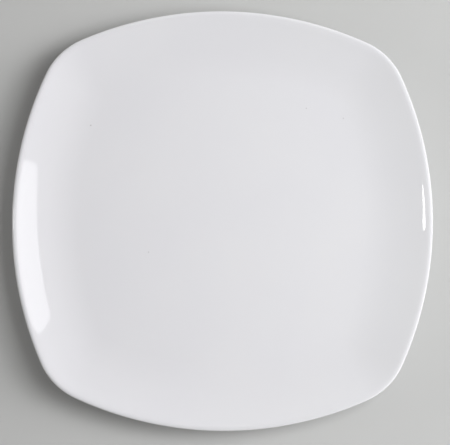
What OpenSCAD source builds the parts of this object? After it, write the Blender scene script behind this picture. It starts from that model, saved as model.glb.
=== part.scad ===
// Square coupe salad plate in glazed porcelain.
// A bisque body with a moulded foot ring carries two coats of fired glaze, which the bare foot keeps apart.
// Millimetres, +Z up, with the origin at the middle of the plane that the foot rests on.

/* [Plan] */
// Width of the finished plate over the middles of two opposite sides
plate_w = 210; // [200:1:220]
// Plan radius of the four corners
corner_r = 34.62; // [34.5:0.02:40]

/* [Wall] */
// Thickness of the finished plate, with the glaze on both faces
wall_t = 3.2; // [2.8:0.1:3.6]
// Face radius of the curve that lifts the wall out of the flat well
well_r = 45; // [36:1:46]
// Face radius of the flatter curve that carries the wall on up
rim_r = 71.875; // [60:0.025:73]
// Face radius of the shoulder that eases the wall over towards the lip
shoulder_r = 16.9; // [12:0.1:22]

/* [Foot ring] */
// Width of the foot over the middle of its resting face
foot_w = 128; // [116:1:128]
// Plan radius of the foot's corners, at the middle of its resting face
foot_corner_r = 29.32; // [24:0.02:34]
// Height of the finished base above the table
foot_h = 3.5; // [3.1:0.1:5]
// Width of the flat face that the foot rests on
foot_flat = 2.4; // [1.6:0.1:4]
// Radius that rounds the edges of the resting face
foot_edge_r = 0.8; // [0.5:0.1:1]
// Radius of the cove between the foot and the base
foot_cove_r = 2.1; // [1.5:0.1:2.2]

/* [Glaze] */
// Thickness of the fired glaze
glaze_t = 0.3; // [0.2:0.05:0.4]
// Height above the table at which the glaze stops on the foot
glaze_line = 1.2; // [1:0.1:1.3]

/* [Hidden] */
$fn = 128;

// A side arc meets a corner arc on a line that rises 84 for every 187 along, with 205 between their centres.
plan_along = 187;
plan_rise = 84;
plan_slant = 205;
plan_span = plan_slant - plan_along + plan_rise;
side_from = [plan_along, -plan_rise];
side_to = [plan_along, plan_rise];
corner_to = [plan_rise, plan_along];
// Slopes of the face where one curve runs into the next, as triangles of [rise, run, length] in whole numbers.
level = [0, 125, 125];
well_slope = [44, 117, 125];
rim_slope = [28, 45, 53];
lip_slope = [36, 77, 85];
// Centres stand whole steps of their triangle apart, so the radii above are kept to the nearest such step.
triangle_step = 0.005;
function whole_steps(distance, length) = round(distance / length / triangle_step) * triangle_step * length;

// Direction through the wall, down and outward, and a vector of that direction with a length.
function through(slope) = [slope.x, -slope.y];
function step(slope, length) = through(slope) * length / slope.z;

// Face radii of the profile's arcs.
lip_r = wall_t / 2;
shoulder_arc = lip_r + whole_steps(shoulder_r - lip_r, lip_slope.z);
rim_arc = whole_steps(rim_r + shoulder_arc, rim_slope.z) - shoulder_arc;
well_arc = rim_arc - whole_steps(rim_arc - well_r, well_slope.z);

// Centres of the profile's arcs, as [distance outward from the plan outline, height].
rim_from_well = -step(well_slope, rim_arc - well_arc);
shoulder_from_rim = step(rim_slope, rim_arc + shoulder_arc);
lip_from_shoulder = -step(lip_slope, shoulder_arc - lip_r);
lip_from_well = rim_from_well + shoulder_from_rim + lip_from_shoulder;
well_centre = [-lip_r - lip_from_well.x, foot_h + wall_t + well_arc];
rim_centre = well_centre + rim_from_well;
shoulder_centre = rim_centre + shoulder_from_rim;
lip_centre = shoulder_centre + lip_from_shoulder;
// Where the swept wall joins the flat middle, just inside the start of the well curve.
core_x = floor(well_centre.x * 10 - 0.5) / 10;

// How far the foot's solid runs up into the base, and its coves above the base's underside.
foot_root = 1.5;
cove_root = 0.1;
// Factors and a length that only have to reach past the plate.
fan_reach = 3;
lip_reach = 0.1;
wedge_reach = 1.2;
clear = 40;

body_colour = [0.90, 0.89, 0.86];
glaze_colour = [0.87, 0.87, 0.89];

// Length that scales the plan triangle to an outline of about this corner radius, and the true corner radius.
function plan_unit(half_w, r) = whole_steps(half_w - r, plan_span) / plan_span;
function corner_arc(half_w, r) = half_w - whole_steps(half_w - r, plan_span);

// Plan area between two directions out of the origin.
module plan_wedge(from, to) {
    polygon([[0, 0], from * wedge_reach, to * wedge_reach]);
}

// Part of a solid of revolution about the local Z axis, between two plan directions.
module arc_sweep(radius, from, to) {
    intersection() {
        rotate_extrude() translate([radius, 0]) children();
        translate([0, 0, -clear]) linear_extrude(2 * clear) plan_wedge(from, to);
    }
}

// Carries a profile round the rounded square: each side and each corner is a true arc about its own centre.
module outline_sweep(half_w, r) {
    unit = plan_unit(half_w, r);
    arc = corner_arc(half_w, r);
    corner_c = plan_rise * unit;
    side_c = (plan_along - plan_rise) * unit;
    for (turn = [0 : 90 : 270]) rotate(turn) {
        translate([-side_c, 0, 0]) arc_sweep(arc + plan_slant * unit, side_from, side_to) children();
        translate([corner_c, corner_c, 0]) arc_sweep(arc, side_to, corner_to) children();
    }
}

// Flat area inside the rounded square.
module outline_area(half_w, r) {
    unit = plan_unit(half_w, r);
    arc = corner_arc(half_w, r);
    corner_c = plan_rise * unit;
    side_c = (plan_along - plan_rise) * unit;
    for (turn = [0 : 90 : 270]) rotate(turn) {
        translate([-side_c, 0]) intersection() {
            circle(arc + plan_slant * unit);
            plan_wedge(side_from, side_to);
        }
        translate([corner_c, corner_c]) intersection() {
            circle(arc);
            plan_wedge(side_to, corner_to);
        }
    }
}

// Band between two arcs about one centre, from one direction to another.
module arc_band(centre, inner_r, outer_r, from, to) {
    translate(centre) intersection() {
        difference() {
            circle(outer_r);
            circle(inner_r);
        }
        polygon([[0, 0], from * fan_reach, to * fan_reach]);
    }
}

// Outer half of the round lip, beyond the line through the wall at the end of the shoulder.
module round_lip(inset) {
    across = through(lip_slope) * lip_reach;
    outward = [lip_slope.y, lip_slope.x] * lip_reach;
    translate(lip_centre) intersection() {
        circle(lip_r - inset);
        polygon([-across, across, across + outward, outward - across]);
    }
}

// Section of the wall from the flat well to the lip, set in from the finished faces.
module wall_profile(inset) {
    core_t = wall_t - 2 * inset;
    translate([core_x, foot_h + inset]) square([well_centre.x - core_x, core_t]);
    hollow_r = well_arc + inset;
    arc_band(well_centre, hollow_r, hollow_r + core_t, through(level), through(well_slope));
    flare_r = rim_arc + inset;
    arc_band(rim_centre, flare_r, flare_r + core_t, through(well_slope), through(rim_slope));
    crown_r = shoulder_arc - inset;
    arc_band(shoulder_centre, crown_r - core_t, crown_r, -through(rim_slope), -through(lip_slope));
    round_lip(inset);
}

// One side of the foot's section: rounded edge below, straight wall, and cove up to the base.
module foot_side(inset) {
    edge_r = foot_edge_r - inset;
    wall_x = foot_flat / 2 + edge_r;
    cove_r = foot_cove_r + inset;
    cove_z = foot_h - foot_cove_r + cove_root;
    top_z = foot_h + foot_root;
    intersection() {
        translate([foot_flat / 2, edge_r]) circle(edge_r);
        translate([foot_flat / 2, 0]) square(edge_r);
    }
    translate([foot_flat / 2, edge_r]) square([edge_r, top_z - edge_r]);
    difference() {
        translate([wall_x, cove_z]) square([cove_r, top_z - cove_z]);
        translate([wall_x + cove_r, cove_z]) circle(cove_r);
    }
}

// Section of the foot ring about the middle of its resting face, rooted in the base.
module foot_profile(inset) {
    translate([-foot_flat / 2, 0]) square([foot_flat, foot_h + foot_root]);
    foot_side(inset);
    mirror([1, 0]) foot_side(inset);
}

// The whole plate with its faces set in from the finished size.
module plate_form(inset) {
    outline_sweep(plate_w / 2, corner_r) wall_profile(inset);
    translate([0, 0, foot_h + inset])
        linear_extrude(wall_t - 2 * inset) outline_area(plate_w / 2 + core_x, corner_r + core_x);
    outline_sweep(foot_w / 2, foot_corner_r) foot_profile(inset);
}

// Everything inside the middle of the foot, from the glaze line up into the base.
module inside_foot() {
    translate([0, 0, glaze_line])
        linear_extrude(foot_h + foot_root - glaze_line) outline_area(foot_w / 2, foot_corner_r);
}

// Glaze on every face of the body above the glaze line.
module glaze_coat() {
    difference() {
        plate_form(0);
        plate_form(glaze_t);
        translate([-plate_w, -plate_w, -clear]) cube([2 * plate_w, 2 * plate_w, clear + glaze_line]);
    }
}

// Bisque body: well, wall, lip and foot ring in one fired piece.
module porcelain_body() {
    color(body_colour) plate_form(glaze_t);
}

// Coat over the face, the lip and the back, down the outside of the foot.
module face_glaze() {
    color(glaze_colour) difference() {
        glaze_coat();
        inside_foot();
    }
}

// Coat over the base inside the foot ring.
module base_glaze() {
    color(glaze_colour) intersection() {
        glaze_coat();
        inside_foot();
    }
}

porcelain_body();
face_glaze();
base_glaze();
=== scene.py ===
"""Looks of a square coupe salad plate: white glaze on porcelain, on pale paper in soft studio light."""

import math
from collections import namedtuple

import bmesh
import bpy
from mathutils import Matrix, Vector


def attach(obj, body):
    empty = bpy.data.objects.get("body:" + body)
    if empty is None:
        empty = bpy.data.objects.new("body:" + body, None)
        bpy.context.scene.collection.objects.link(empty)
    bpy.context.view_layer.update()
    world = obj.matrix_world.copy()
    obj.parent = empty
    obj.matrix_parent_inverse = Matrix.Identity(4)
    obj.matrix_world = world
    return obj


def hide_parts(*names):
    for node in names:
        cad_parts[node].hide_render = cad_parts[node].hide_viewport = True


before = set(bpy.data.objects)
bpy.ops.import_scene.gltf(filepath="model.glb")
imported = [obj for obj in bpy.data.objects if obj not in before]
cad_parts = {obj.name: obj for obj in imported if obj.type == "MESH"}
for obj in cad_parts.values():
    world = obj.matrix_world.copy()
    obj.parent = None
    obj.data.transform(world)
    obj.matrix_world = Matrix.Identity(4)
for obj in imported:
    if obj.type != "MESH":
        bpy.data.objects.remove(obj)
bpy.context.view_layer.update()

MM = 0.001

# Sizes of the finished plate, as the solids have them
plate_half = 105 * MM
corner_r = 34.62 * MM
wall_t = 3.2 * MM
well_r = 45 * MM
rim_r = 71.875 * MM
shoulder_r = 16.9 * MM
foot_half = 64 * MM
foot_corner_r = 29.32 * MM
foot_h = 3.5 * MM
foot_flat = 2.4 * MM
foot_edge_r = 0.8 * MM
foot_cove_r = 2.1 * MM
glaze_t = 0.3 * MM
glaze_line = 1.2 * MM

# Slopes of the face where the well curve, the rim curve and the shoulder end
well_slope = math.asin(44 / 125)
rim_slope = math.asin(28 / 53)
lip_slope = math.asin(36 / 85)
# Half of the angle that a side's arc spans about its own centre
side_turn = math.atan2(84, 187)
quarter_turn = math.radians(90)
corner_turn = quarter_turn - 2 * side_turn

# Steps of the arcs round the plan and along the section
half_side_steps = 24
corner_steps = 22
well_steps = 14
rim_steps = 20
shoulder_steps = 10
lip_steps = 24
foot_steps = 8

# Points of a mesh that lie closer than this are one
weld = 0.002 * MM
# Faces that meet at less than this angle are shaded as one surface
smooth_angle = math.radians(40)
# Rounding of the ends of a coat, on the edges that are sharper than this angle
coat_edge_r = 0.4 * glaze_t
coat_edge_angle = math.radians(60)
coat_edge_steps = 3

UP = (0, 0, 1)
# Turning about this axis carries a point of the section from below its centre outward and up
LIFT = (0, -1, 0)


# Modelling by hand, in edit mode

def put_down():
    """Leaves edit mode with nothing selected."""
    if bpy.context.mode != "OBJECT":
        bpy.ops.object.mode_set(mode="OBJECT")
    bpy.ops.object.select_all(action="DESELECT")


def start_point(name, point):
    """A new piece that is one selected point in edit mode, ready to be drawn out into a section."""
    put_down()
    bpy.ops.mesh.primitive_plane_add(size=MM, location=point)
    piece = bpy.context.object
    piece.name = name
    bpy.ops.object.transform_apply(location=True, rotation=False, scale=False)
    bpy.ops.object.mode_set(mode="EDIT")
    bpy.ops.mesh.select_mode(type="VERT")
    bpy.ops.mesh.select_all(action="SELECT")
    bpy.ops.mesh.merge(type="CENTER")
    return piece


def turn(centre, axis, angle, steps):
    """Spins what is selected about an axis and leaves its far end selected. Spin counts clockwise."""
    bpy.ops.mesh.spin(steps=steps, angle=-angle, center=centre, axis=axis, dupli=False)


def draw(x=0, z=0):
    """Draws the selected end of a section out in a straight line."""
    bpy.ops.mesh.extrude_region_move(TRANSFORM_OT_translate={"value": (x, 0, z)})


def plan_centres(half, radius):
    """How far from the axis the centres of the side arcs lie and, along both axes, of the corners."""
    span = (half - radius) / (1 - math.cos(side_turn) + math.sin(side_turn))
    corner_centre = span * math.sin(side_turn)
    return span * math.cos(side_turn) - corner_centre, corner_centre


def sweep_round(half, radius):
    """Carries a section round the rounded square, one true arc after another, and closes the seam."""
    side_centre, corner_centre = plan_centres(half, radius)
    bpy.ops.mesh.select_all(action="SELECT")
    for quarter in range(4):
        square = Matrix.Rotation(quarter * quarter_turn, 3, "Z")
        turn(square @ Vector((-side_centre, 0, 0)), UP, side_turn, half_side_steps)
        turn(square @ Vector((corner_centre, corner_centre, 0)), UP, corner_turn, corner_steps)
        turn(square @ Vector((0, -side_centre, 0)), UP, side_turn, half_side_steps)
    bpy.ops.mesh.select_all(action="SELECT")
    bpy.ops.mesh.remove_doubles(threshold=weld)


def select_open_loops(*points):
    """Selects the open loops of edges that pass through these points."""
    data = bpy.context.object.data
    bpy.ops.mesh.select_mode(type="EDGE")
    bpy.ops.mesh.select_all(action="DESELECT")
    mesh = bmesh.from_edit_mesh(data)
    open_ends = [v for v in mesh.verts if v.is_boundary]
    for point in points:
        found = [min(open_ends, key=lambda v: (v.co - Vector(point)).length)]
        while found:
            for edge in found.pop().link_edges:
                if edge.is_boundary and not edge.select:
                    edge.select_set(True)
                    found.extend(edge.verts)
    bmesh.update_edit_mesh(data)


def close_middle(point, shares=(0.72, 0.44, 0.2)):
    """Closes the open loop through a point with rings of faces that shrink towards the axis."""
    select_open_loops(point)
    reached = 1
    for share in shares:
        bpy.ops.mesh.extrude_edges_move()
        shrink = share / reached
        bpy.ops.transform.resize(value=(shrink, shrink, 1), center_override=(0, 0, 0))
        reached = share
    bpy.ops.mesh.merge(type="CENTER")


def bridge_flat(inner_x, outer_x, height):
    """Joins two open loops at one height with a flat band of faces.

    The operator joins loops of one plane crosswise, so the inner loop is dipped first and the band
    flattened afterwards.
    """
    dip = 1 * MM
    select_open_loops((inner_x, 0, height))
    bpy.ops.transform.translate(value=(0, 0, -dip))
    select_open_loops((inner_x, 0, height - dip), (outer_x, 0, height))
    bpy.ops.mesh.bridge_edge_loops()
    bpy.ops.transform.resize(value=(1, 1, 0), center_override=(0, 0, height))


def join(piece, other):
    """Joins a second piece into the first and goes on in edit mode."""
    put_down()
    other.select_set(True)
    piece.select_set(True)
    bpy.context.view_layer.objects.active = piece
    bpy.ops.object.join()
    bpy.ops.object.mode_set(mode="EDIT")


def set_normals(into_hollow=False):
    """Makes the normals of the piece in hand point outward, or into the hollow of an open dish."""
    bpy.ops.mesh.select_mode(type="FACE")
    bpy.ops.mesh.select_all(action="SELECT")
    bpy.ops.mesh.normals_make_consistent(inside=into_hollow)


def apply(piece, kind, **settings):
    """Adds a modifier to a piece and applies it."""
    modifier = piece.modifiers.new(kind.lower(), kind)
    for key, value in settings.items():
        setattr(modifier, key, value)
    bpy.ops.object.modifier_apply(modifier=modifier.name)


def fire_coat(piece):
    """Gives a coat of glaze its thickness, with a rounded end where it stops on the foot."""
    bpy.ops.object.mode_set(mode="OBJECT")
    apply(piece, "SOLIDIFY", thickness=glaze_t, offset=-1, use_even_offset=True)
    apply(
        piece,
        "BEVEL",
        width=coat_edge_r,
        segments=coat_edge_steps,
        limit_method="ANGLE",
        angle_limit=coat_edge_angle,
    )
    bpy.ops.object.shade_smooth_by_angle(angle=smooth_angle)


# Section of the wall, with the plate's outline at mid side on +X

def through(slope, length):
    """Vector through the wall, down and outward, where the face has this slope."""
    return length * Vector((math.sin(slope), 0, -math.cos(slope)))


floor_z = foot_h + wall_t
lip_r = wall_t / 2
rim_from_well = -through(well_slope, rim_r - well_r)
shoulder_from_rim = through(rim_slope, rim_r + shoulder_r)
lip_from_shoulder = -through(lip_slope, shoulder_r - lip_r)
well_x = plate_half - lip_r - (rim_from_well + shoulder_from_rim + lip_from_shoulder).x
well_centre = Vector((well_x, 0, floor_z + well_r))
rim_centre = well_centre + rim_from_well
shoulder_centre = rim_centre + shoulder_from_rim
lip_centre = shoulder_centre + lip_from_shoulder


def wall_strip(name, inset):
    """Back, lip and face of the wall, swept round the plate and set in from the finished faces."""
    piece = start_point(name, (well_x, 0, foot_h + inset))
    turn(well_centre, LIFT, well_slope, well_steps)
    turn(rim_centre, LIFT, rim_slope - well_slope, rim_steps)
    turn(shoulder_centre, LIFT, lip_slope - rim_slope, shoulder_steps)
    turn(lip_centre, LIFT, math.pi, lip_steps)
    turn(shoulder_centre, LIFT, rim_slope - lip_slope, shoulder_steps)
    turn(rim_centre, LIFT, well_slope - rim_slope, rim_steps)
    turn(well_centre, LIFT, -well_slope, well_steps)
    sweep_round(plate_half, corner_r)
    return piece


# Section of the foot, about the middle of its resting face

# The coves' centres, which the glaze doesn't shift, lie this far to both sides and this high
foot_reach = foot_flat / 2 + foot_edge_r + foot_cove_r
cove_z = foot_h - foot_cove_r


def glazed_foot_strip(name, side):
    """Cove and wall of the glazed foot, outside (1) or inside (-1) the ring, down to the glaze line."""
    cove = Vector((foot_half + side * foot_reach, 0, cove_z))
    piece = start_point(name, (cove.x, 0, foot_h))
    turn(cove, LIFT, side * quarter_turn, foot_steps)
    draw(z=glaze_line - cove_z)
    sweep_round(foot_half, foot_corner_r)
    return piece


def bare_foot_strip(name, inset):
    """The whole foot ring of the bare body, from the base outside it to the base inside it."""
    edge_r = foot_edge_r - inset
    out_cove, in_cove = (Vector((foot_half + side * foot_reach, 0, cove_z)) for side in (1, -1))
    out_edge, in_edge = (Vector((foot_half + side * foot_flat / 2, 0, edge_r)) for side in (1, -1))
    piece = start_point(name, (out_cove.x, 0, foot_h + inset))
    turn(out_cove, LIFT, quarter_turn, foot_steps)
    draw(z=edge_r - cove_z)
    turn(out_edge, LIFT, -quarter_turn, foot_steps)
    draw(x=-foot_flat)
    turn(in_edge, LIFT, -quarter_turn, foot_steps)
    draw(z=cove_z - edge_r)
    turn(in_cove, LIFT, quarter_turn, foot_steps)
    sweep_round(foot_half, foot_corner_r)
    return piece


# Pieces of the plate

def glaze_over_plate():
    """Coat of glaze on the face, the lip and the back, ending in a line on the outside of the foot."""
    piece = wall_strip("glaze_over_plate", 0)
    close_middle((well_x, 0, floor_z))
    join(piece, glazed_foot_strip("glaze_on_foot", 1))
    bridge_flat(foot_half + foot_reach, well_x, foot_h)
    set_normals()
    fire_coat(piece)
    return piece


def glaze_under_base():
    """Coat of glaze on the base inside the foot ring."""
    piece = glazed_foot_strip("glaze_under_base", -1)
    close_middle((foot_half - foot_reach, 0, foot_h))
    set_normals(into_hollow=True)
    fire_coat(piece)
    return piece


def bisque_body():
    """The porcelain itself: well, wall, lip and foot ring in one piece, bare under the foot."""
    base_z = foot_h + glaze_t
    piece = wall_strip("bisque_body", glaze_t)
    close_middle((well_x, 0, floor_z - glaze_t))
    join(piece, bare_foot_strip("bare_foot", glaze_t))
    bridge_flat(foot_half + foot_reach, well_x, base_z)
    close_middle((foot_half - foot_reach, 0, base_z))
    set_normals()
    bpy.ops.object.mode_set(mode="OBJECT")
    bpy.ops.object.shade_smooth_by_angle(angle=smooth_angle)
    return piece


# Materials

class Wire:
    """A value or colour on its way through a node tree. Arithmetic on values adds Math nodes."""

    def __init__(self, tree, socket=None):
        self.tree = tree
        self.socket = socket

    def node(self, kind, settings=None, sockets=None, output=0):
        """Adds a node and gives one of its outputs, where it has any.

        Its settings are set first, then the values or links of its sockets.
        """
        node = self.tree.nodes.new(kind)
        for key, value in (settings or {}).items():
            setattr(node, key, value)
        for key, value in (sockets or {}).items():
            if isinstance(value, Wire):
                self.tree.links.new(value.socket, node.inputs[key])
            else:
                node.inputs[key].default_value = value
        return Wire(self.tree, node.outputs[output] if node.outputs else None)

    def math(self, operation, first, second):
        """One step of arithmetic."""
        return self.node("ShaderNodeMath", {"operation": operation}, {0: first, 1: second})

    def __add__(self, other):
        return self.math("ADD", self, other)

    def __sub__(self, other):
        return self.math("SUBTRACT", self, other)

    def __rsub__(self, other):
        return self.math("SUBTRACT", other, self)

    def __mul__(self, other):
        return self.math("MULTIPLY", self, other)

    __radd__ = __add__
    __rmul__ = __mul__

    def place(self):
        """Position on the piece, in metres."""
        return self.node("ShaderNodeTexCoord", output="Object")

    def noise(self, size, detail=2):
        """Noise between 0 and 1, about 0.5, with features of a size in metres."""
        return self.node(
            "ShaderNodeTexNoise",
            sockets={"Vector": self.place(), "Scale": 1 / size, "Detail": detail},
        )

    def ramp(self, value, low, high):
        """Smooth step of a value from 0 at low to 1 at high."""
        return self.node(
            "ShaderNodeMapRange",
            {"interpolation_type": "SMOOTHSTEP"},
            {"Value": value, "From Min": low, "From Max": high},
        )

    def blend(self, factor, first, second):
        """Mix of two colours."""
        colours = {0: factor, 6: first, 7: second}
        return self.node("ShaderNodeMix", {"data_type": "RGBA"}, colours, output=2)

    def seen(self):
        """1 for a ray of the eye, also by way of gloss or glass, and 0 for light on a matt surface."""
        ray = self.node("ShaderNodeLightPath", output="Is Camera Ray")
        for other in ("Is Glossy Ray", "Is Transmission Ray"):
            ray = self.math("MAXIMUM", ray, self.node("ShaderNodeLightPath", output=other))
        return ray

    def bump(self, height):
        """Normal of a surface with a relief in metres."""
        return self.node("ShaderNodeBump", sockets={"Strength": 1, "Distance": 1, "Height": height})


def new_material(name):
    """An empty material, and the start of its wires."""
    material = bpy.data.materials.new(name)
    material.use_nodes = True
    material.node_tree.nodes.clear()
    return material, Wire(material.node_tree)


# Iron specks under the glaze of the face: place from the middle, and radius
specks = (
    ((-67.5 * MM, 47.6 * MM), 0.55 * MM),
    ((42.2 * MM, 57.4 * MM), 0.4 * MM),
    ((61.1 * MM, 52.4 * MM), 0.4 * MM),
    ((-37.3 * MM, -16.7 * MM), 0.4 * MM),
)


def white_glaze():
    """Clear gloss fired over white: faint clouding, a few specks and the soft waves of the coat."""
    cool_white = (0.772, 0.772, 0.792, 1)
    full_white = (0.8, 0.8, 0.808, 1)
    iron = (0.3, 0.28, 0.27, 1)
    material, wire = new_material("white_glaze")
    colour = wire.blend(wire.noise(40 * MM, detail=3), cool_white, full_white)
    for (x, y), radius in specks:
        distance = wire.node(
            "ShaderNodeVectorMath",
            {"operation": "DISTANCE"},
            {0: wire.place(), 1: (x, y, floor_z)},
            output="Value",
        )
        mark = 0.5 * (1 - wire.ramp(distance, 0.3 * radius, radius))
        colour = wire.blend(mark, colour, iron)
    roughness = 0.012 + 0.02 * wire.noise(12 * MM)
    waves = 0.02 * MM * wire.noise(30 * MM, detail=1)
    peel = 0.0008 * MM * wire.noise(2.5 * MM, detail=1)
    shader = wire.node(
        "ShaderNodeBsdfPrincipled",
        sockets={
            "Base Color": colour,
            "Roughness": roughness,
            "Diffuse Roughness": 1,
            "IOR": 1.5,
            "Normal": wire.bump(waves + peel),
        },
    )
    wire.node("ShaderNodeOutputMaterial", sockets={"Surface": shader})
    return material


def bare_porcelain():
    """Unglazed porcelain: warm, matt and fine-grained, a little greyer where the foot is rubbed."""
    warm_grey = (0.74, 0.72, 0.67, 1)
    warm_white = (0.82, 0.8, 0.75, 1)
    rub_grey = (0.5, 0.49, 0.47, 1)
    material, wire = new_material("bare_porcelain")
    cloud = wire.noise(9 * MM, detail=4)
    colour = wire.blend(cloud, warm_grey, warm_white)
    height = wire.node("ShaderNodeSeparateXYZ", sockets={"Vector": wire.place()}, output="Z")
    patches = wire.ramp(wire.noise(3 * MM, detail=5), 0.45, 0.7)
    rubbed = (1 - wire.ramp(height, 0, 0.15 * MM)) * patches
    colour = wire.blend(0.35 * rubbed, colour, rub_grey)
    grain = 0.02 * MM * wire.noise(0.35 * MM, detail=3)
    shader = wire.node(
        "ShaderNodeBsdfPrincipled",
        sockets={"Base Color": colour, "Roughness": 0.82 + 0.12 * cloud, "Normal": wire.bump(grain)},
    )
    wire.node("ShaderNodeOutputMaterial", sockets={"Surface": shader})
    return material


# Distances from the plate between which the ground fades into the pale surroundings
near_ground = 0.25
far_ground = 1.1


def pale_paper():
    """Matt pale grey ground with a faint cloud and grain, lost to the eye far from the plate."""
    grey = (0.513, 0.518, 0.507, 1)
    pale_grey = (0.539, 0.544, 0.533, 1)
    material, wire = new_material("pale_paper")
    colour = wire.blend(wire.noise(60 * MM, detail=4), grey, pale_grey)
    grain = 0.01 * MM * wire.noise(1 * MM)
    paper = wire.node(
        "ShaderNodeBsdfPrincipled",
        sockets={"Base Color": colour, "Roughness": 0.9, "Normal": wire.bump(grain)},
    )
    clear = wire.node("ShaderNodeBsdfTransparent")
    away = wire.node(
        "ShaderNodeVectorMath",
        {"operation": "LENGTH"},
        {0: wire.place()},
        output="Value",
    )
    lost = wire.seen() * wire.ramp(away, near_ground, far_ground)
    shader = wire.node("ShaderNodeMixShader", sockets={0: lost, 1: paper, 2: clear})
    wire.node("ShaderNodeOutputMaterial", sockets={"Surface": shader})
    return material


def glow(name, colour, strength):
    """Light of a softbox."""
    material, wire = new_material(name)
    shader = wire.node("ShaderNodeEmission", sockets={"Color": (*colour, 1), "Strength": strength})
    wire.node("ShaderNodeOutputMaterial", sockets={"Surface": shader})
    return material


# The plate

glaze = white_glaze()
bisque = bare_porcelain()


def dress(piece, material, node):
    """Gives a piece its finish, attaches it to the root and hides the solid that it stands for."""
    piece.data.materials.append(material)
    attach(piece, "root")
    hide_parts(node)


dress(glaze_over_plate(), glaze, "face_glaze")
dress(glaze_under_base(), glaze, "base_glaze")
dress(bisque_body(), bisque, "porcelain_body")


# Stage and lights

def paper_ground(width=4.0):
    """Flat ground under the foot."""
    put_down()
    bpy.ops.mesh.primitive_plane_add(size=width)
    ground = bpy.context.object
    ground.name = "paper_ground"
    ground.data.materials.append(pale_paper())


def direction(azimuth, elevation):
    """Unit vector towards a place round the plate, in degrees from +X and up from the ground."""
    a = math.radians(azimuth)
    e = math.radians(elevation)
    return Vector((math.cos(e) * math.cos(a), math.cos(e) * math.sin(a), math.sin(e)))


def softbox(name, azimuth, elevation, distance, outline, colour, strength):
    """A glowing panel that faces the plate, unseen and without a shadow of its own.

    Its outline is in its own plane: to the left, as the plate sees it, and up from its middle.
    """
    put_down()
    bpy.ops.mesh.primitive_circle_add(vertices=len(outline), fill_type="NGON")
    sheet = bpy.context.object
    sheet.name = name
    facing = direction(azimuth, elevation)
    across = Vector(UP).cross(facing).normalized()
    upward = facing.cross(across)
    for vertex, (u, v) in zip(sheet.data.vertices, outline):
        vertex.co = distance * facing + u * across + v * upward
    sheet.data.materials.append(glow(name, colour, strength))
    sheet.visible_camera = False
    sheet.visible_shadow = False
    return sheet


# A broad soft light from one part of the surroundings, which the sharpness draws together
Lobe = namedtuple("Lobe", "azimuth elevation sharpness colour strength")


def studio_world(pale, lobes):
    """Even pale surroundings for eye and gloss, and soft lobes of light for matt surfaces."""
    world = bpy.data.worlds.new("studio")
    bpy.context.scene.world = world
    world.use_nodes = True
    world.node_tree.nodes.clear()
    wire = Wire(world.node_tree)
    towards = wire.node("ShaderNodeTexCoord", output="Generated")
    light = wire.node("ShaderNodeBackground", sockets={"Color": (1, 1, 1, 1), "Strength": 0})
    for lobe in lobes:
        along = wire.node(
            "ShaderNodeVectorMath",
            {"operation": "DOT_PRODUCT"},
            {0: towards, 1: direction(lobe.azimuth, lobe.elevation)},
            output="Value",
        )
        fade = wire.math("POWER", wire.math("MAXIMUM", along, 0), lobe.sharpness)
        patch = wire.node(
            "ShaderNodeBackground",
            sockets={"Color": (*lobe.colour, 1), "Strength": lobe.strength * fade},
        )
        light = wire.node("ShaderNodeAddShader", sockets={0: light, 1: patch})
    backdrop = wire.node("ShaderNodeBackground", sockets={"Color": (*pale, 1), "Strength": 1})
    shader = wire.node("ShaderNodeMixShader", sockets={0: wire.seen(), 1: light, 2: backdrop})
    wire.node("ShaderNodeOutputWorld", sockets={"Surface": shader})


# Distances of the lamps from the plate
lamp_distance = 0.9
fill_distance = 0.5
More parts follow.
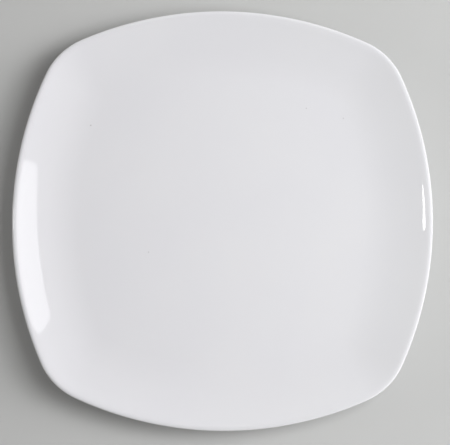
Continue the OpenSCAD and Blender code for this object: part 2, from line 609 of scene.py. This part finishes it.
# Outlines of the lamps
key_outline = (
    (-103 * MM, 18 * MM),
    (-85 * MM, 108 * MM),
    (-70 * MM, 165 * MM),
    (-40 * MM, 199 * MM),
    (-10 * MM, 213 * MM),
    (48 * MM, 226 * MM),
    (107 * MM, 221 * MM),
    (134 * MM, 91 * MM),
    (160 * MM, -60 * MM),
    (-115 * MM, -60 * MM),
)
fill_outline = (
    (-150 * MM, -150 * MM),
    (150 * MM, -150 * MM),
    (150 * MM, 150 * MM),
    (-150 * MM, 150 * MM),
)
strip_outline = (
    (-42 * MM, -100 * MM),
    (24 * MM, -100 * MM),
    (24 * MM, 112 * MM),
    (-42 * MM, 121 * MM),
)

paper_ground()
softbox(
    "key_softbox",
    azimuth=8,
    elevation=40,
    distance=lamp_distance,
    outline=key_outline,
    colour=(0.97, 0.97, 1),
    strength=4.05,
)
# The fill lights matt surfaces alone, and the strip shows in reflections alone
fill = softbox(
    "fill_softbox",
    azimuth=4,
    elevation=60,
    distance=fill_distance,
    outline=fill_outline,
    colour=(0.985, 0.995, 1),
    strength=5.66,
)
fill.visible_glossy = False
strip = softbox(
    "strip_softbox",
    azimuth=176,
    elevation=35,
    distance=lamp_distance,
    outline=strip_outline,
    colour=(1, 1, 1),
    strength=12,
)
strip.visible_diffuse = False

right_sky = Lobe(azimuth=6, elevation=24, sharpness=30, colour=(1, 0.98, 1), strength=9.5)
left_sky = Lobe(azimuth=180, elevation=5, sharpness=60, colour=(1, 1, 0.97), strength=15)
top_sky = Lobe(azimuth=0, elevation=90, sharpness=1, colour=(1, 0.97, 0.97), strength=0.31)
pale_room = (0.8, 0.8, 0.84)
studio_world(pale_room, (right_sky, left_sky, top_sky))


# Camera above the plate, a little towards the front

eye_sensor = 36
eye_lens = 95.01
eye_target = Vector((1.167 * MM, -1.477 * MM, 7.9 * MM))
eye_azimuth = -96.607
eye_elevation = 85.659
eye_distance = 0.6
eye_roll = math.radians(0.448)


def eye():
    """Camera at the photographed angle and distance."""
    camera = bpy.data.cameras.new("eye")
    camera.sensor_fit = "HORIZONTAL"
    camera.sensor_width = eye_sensor
    camera.lens = eye_lens
    holder = bpy.data.objects.new("eye", camera)
    bpy.context.scene.collection.objects.link(holder)
    outward = direction(eye_azimuth, eye_elevation)
    upward = (Vector((0, 1, 0)) - outward * outward.y).normalized()
    across = upward.cross(outward)
    level = Matrix((across, upward, outward)).transposed()
    roll = Matrix.Rotation(eye_roll, 3, "Z")
    place = Matrix.Translation(eye_target + eye_distance * outward)
    holder.matrix_world = place @ (level @ roll).to_4x4()
    bpy.context.scene.camera = holder


eye()
bpy.context.scene.view_settings.view_transform = "Standard"
